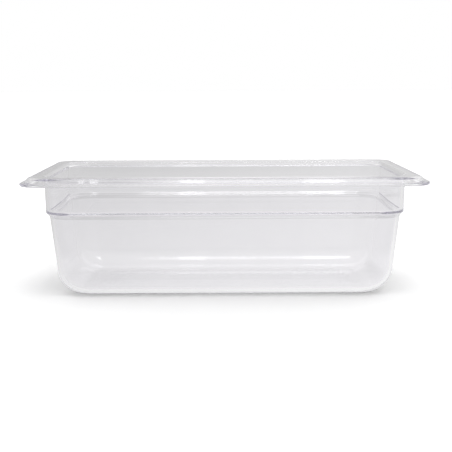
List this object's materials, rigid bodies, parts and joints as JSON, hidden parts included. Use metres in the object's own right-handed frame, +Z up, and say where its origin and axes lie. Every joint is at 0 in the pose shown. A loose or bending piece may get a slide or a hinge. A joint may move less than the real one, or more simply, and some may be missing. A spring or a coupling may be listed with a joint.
{
  "type": "food pan",
  "caption": "Clear one-third-size deli food pan, 100 mm deep, with a flat flange, a stacking shoulder and sloping lower walls.",
  "frame": {"origin": "middle of the underside of the base, on the surface the pan stands on", "axes": "+X along the long side, +Y across the short side, +Z up out of the opening"},
  "size_m": [0.325, 0.176, 0.1],
  "materials": {
    "clear_plastic": "clear moulded polycarbonate, glossy, with a faint cool grey tint"
  },
  "bodies": {
    "root": {"pan": "clear_plastic"}
  },
  "joints": []
}
